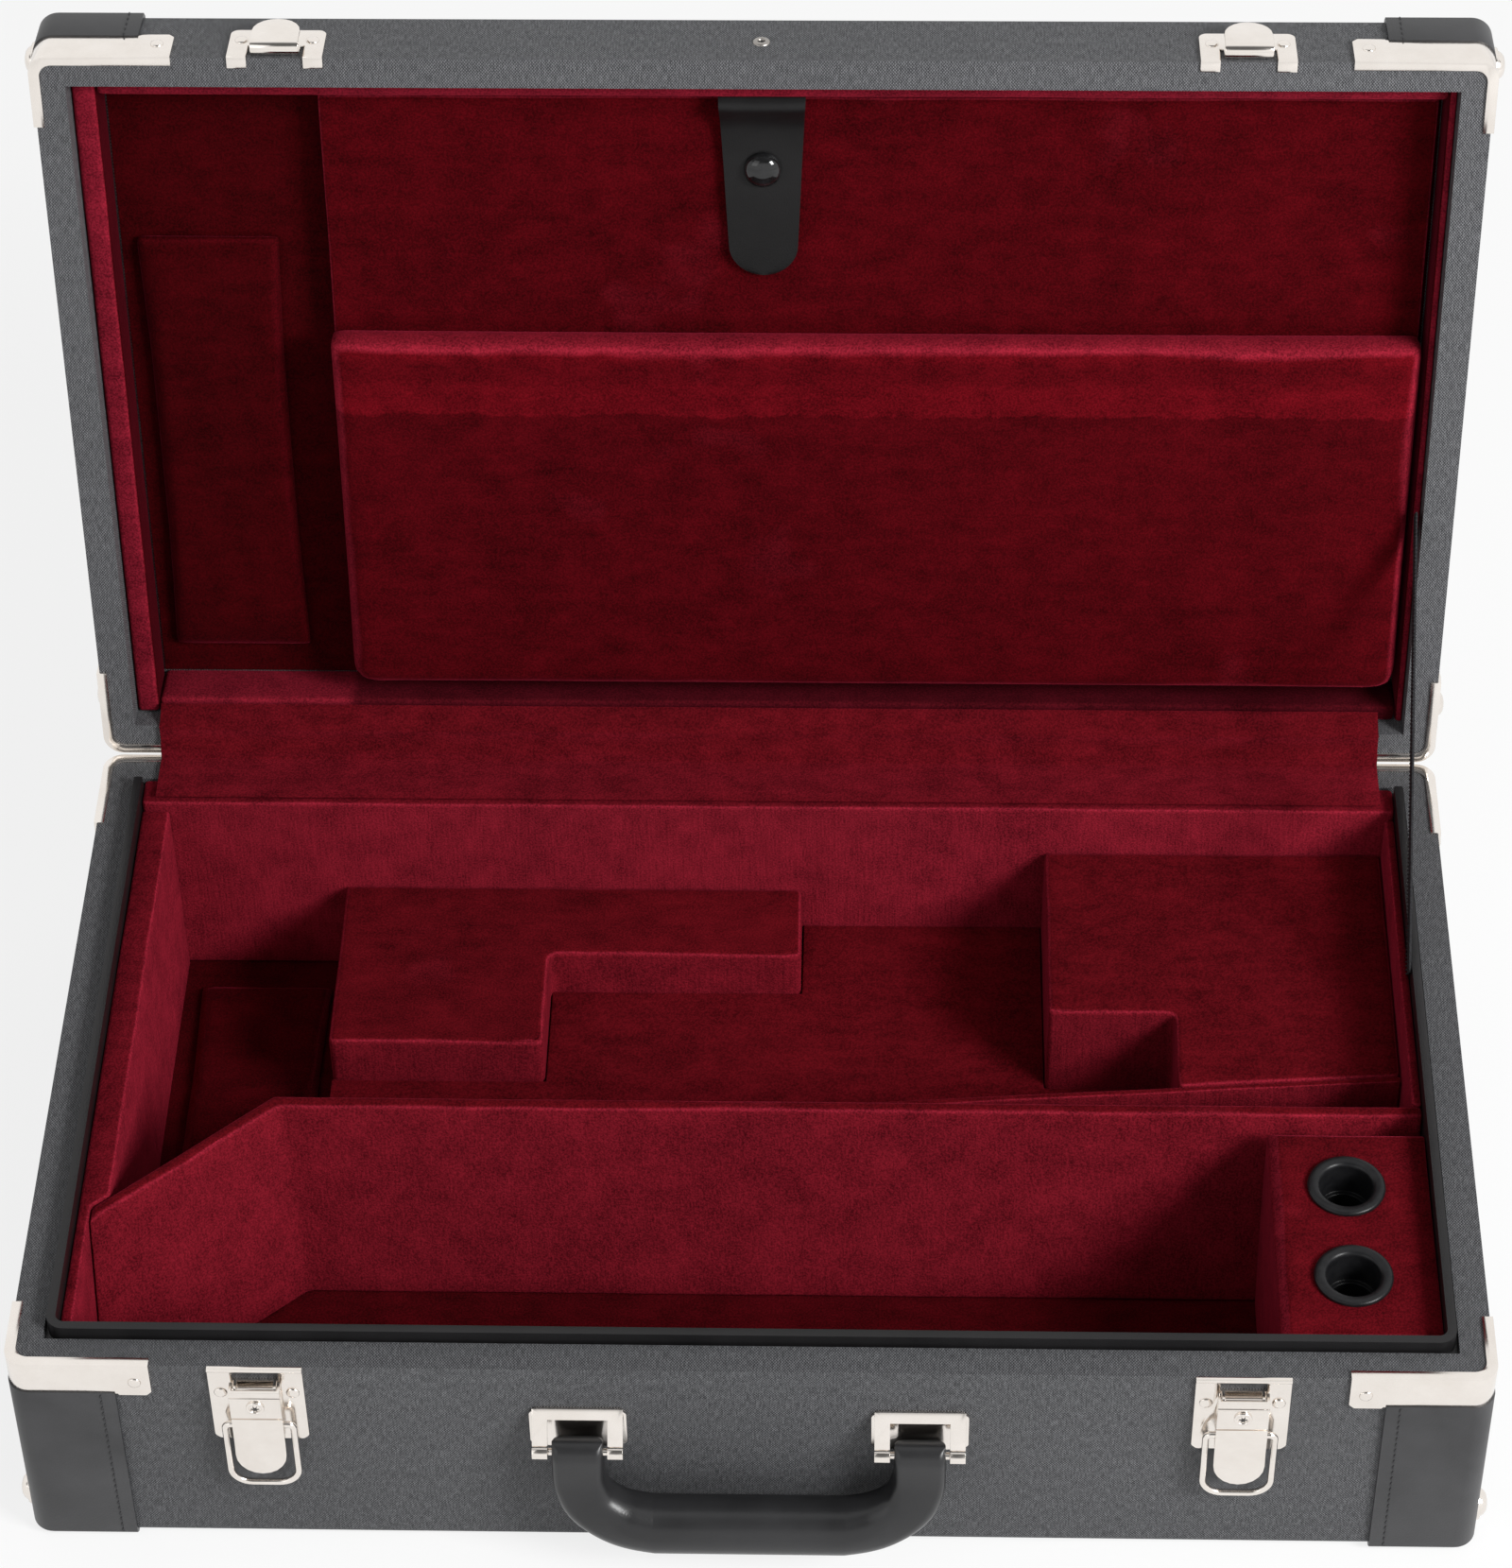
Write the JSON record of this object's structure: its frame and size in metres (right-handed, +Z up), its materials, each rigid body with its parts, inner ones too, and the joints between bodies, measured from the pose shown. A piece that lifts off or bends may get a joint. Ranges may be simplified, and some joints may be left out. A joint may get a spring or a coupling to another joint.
{
  "type": "trumpet case",
  "caption": "Shallow hard case with a hinged lid, draw latches, a carrying handle, a velvet bed for a trumpet and a lid compartment behind a flap.",
  "frame": {"origin": "centre of the underside of the base", "axes": "+X to the right along the hinge, +Y from the front to the hinge side, +Z up; the lid stands open"},
  "size_m": [0.5722, 0.4334, 0.4402],
  "materials": {
    "covered_board": "charcoal woven vinyl cloth bonded to plywood",
    "leather_black": "black grained leather cloth",
    "guard_leather": "black leather, stitched",
    "velvet": "burgundy plush over foam and board",
    "nickel": "bright nickel plate",
    "steel_pin": "plain steel",
    "black_plastic": "glossy black",
    "webbing": "black ribbed tape"
  },
  "bodies": {
    "base": {"base_front_wall": "covered_board", "base_back_wall": "covered_board", "base_left_wall": "covered_board", "base_right_wall": "covered_board", "base_floor_board": "covered_board", "base_lip": "leather_black", "base_floor_lining": "velvet", "base_back_pad": "velvet", "base_front_pad": "velvet", "base_left_pad": "velvet", "base_right_pad": "velvet", "compartment_divider": "velvet", "valve_bed": "velvet", "bell_block": "velvet", "stem_block": "velvet", "stem_partition": "velvet", "bell_pad": "velvet", "mouthpiece_block": "velvet", "mouthpiece_sockets": "black_plastic", "base_brackets": "nickel", "base_corner_guards": "guard_leather", "base_glides": "nickel", "latch_plates": "nickel", "base_rivets": "nickel", "handle_brackets": "nickel", "base_hinge_leaves": "nickel", "pivot_pins": "steel_pin", "hinge_band": "velvet", "stay_tape": "webbing"},
    "lid": {"lid_front_wall": "covered_board", "lid_back_wall": "covered_board", "lid_left_wall": "covered_board", "lid_right_wall": "covered_board", "lid_top_board": "covered_board", "lid_brackets": "nickel", "lid_corner_guards": "guard_leather", "lid_glides": "nickel", "latch_keepers": "nickel", "lid_rivets": "nickel", "lid_hinge_leaves": "nickel", "lid_lining": "velvet", "lid_left_pad": "velvet", "lid_right_pad": "velvet", "lid_front_pad": "velvet", "lid_back_pad": "velvet", "recess_pad": "velvet", "flap_rest": "velvet", "flap_hinge_cloth": "velvet"},
    "left_lever": {"latch_lever_left": "nickel", "lock_boss_left": "nickel"},
    "right_lever": {"latch_lever_right": "nickel", "lock_boss_right": "nickel"},
    "left_bail": {"latch_bail_left": "nickel"},
    "right_bail": {"latch_bail_right": "nickel"},
    "handle": {"handle_grip": "black_plastic"},
    "flap": {"flap_board": "velvet", "flap_block": "velvet", "flap_stud": "nickel"},
    "tab": {"tab_strap": "leather_black", "tab_cap": "black_plastic"}
  },
  "joints": [
    {"name": "lid_hinge", "type": "hinge", "parent": "base", "child": "lid", "pos_m": [0, 0.1666, 0.105], "axis": [-1, 0, 0], "range_deg": [-97, 0], "deforming": ["hinge_band", "stay_tape"]},
    {"name": "left_lever_pivot", "type": "hinge", "parent": "base", "child": "left_lever", "pos_m": [-0.186, -0.1694, 0.0955], "axis": [-1, 0, 0], "range_deg": [0, 95]},
    {"name": "right_lever_pivot", "type": "hinge", "parent": "base", "child": "right_lever", "pos_m": [0.186, -0.1694, 0.0955], "axis": [-1, 0, 0], "range_deg": [0, 95]},
    {"name": "left_bail_pivot", "type": "hinge", "parent": "left_lever", "child": "left_bail", "pos_m": [-0.186, -0.1698, 0.0755], "axis": [1, 0, 0], "range_deg": [-182, 0]},
    {"name": "right_bail_pivot", "type": "hinge", "parent": "right_lever", "child": "right_bail", "pos_m": [0.186, -0.1698, 0.0755], "axis": [1, 0, 0], "range_deg": [-182, 0]},
    {"name": "handle_pivot", "type": "hinge", "parent": "base", "child": "handle", "pos_m": [0, -0.174, 0.066], "axis": [-1, 0, 0], "range_deg": [0, 100]},
    {"name": "flap_hinge", "type": "hinge", "parent": "lid", "child": "flap", "pos_m": [0, 0.18978, 0.12966], "axis": [1, 0, 0], "range_deg": [0, 40], "deforming": ["tab_strap", "tab_cap"]},
    {"name": "tab_bend", "type": "hinge", "parent": "lid", "child": "tab", "pos_m": [0, 0.21779, 0.41034], "axis": [-1, 0, 0], "range_deg": [0, 110]}
  ],
  "couplings": [
    {"joint": "tab_bend", "follows": "flap_hinge", "ratio": 2.75}
  ]
}
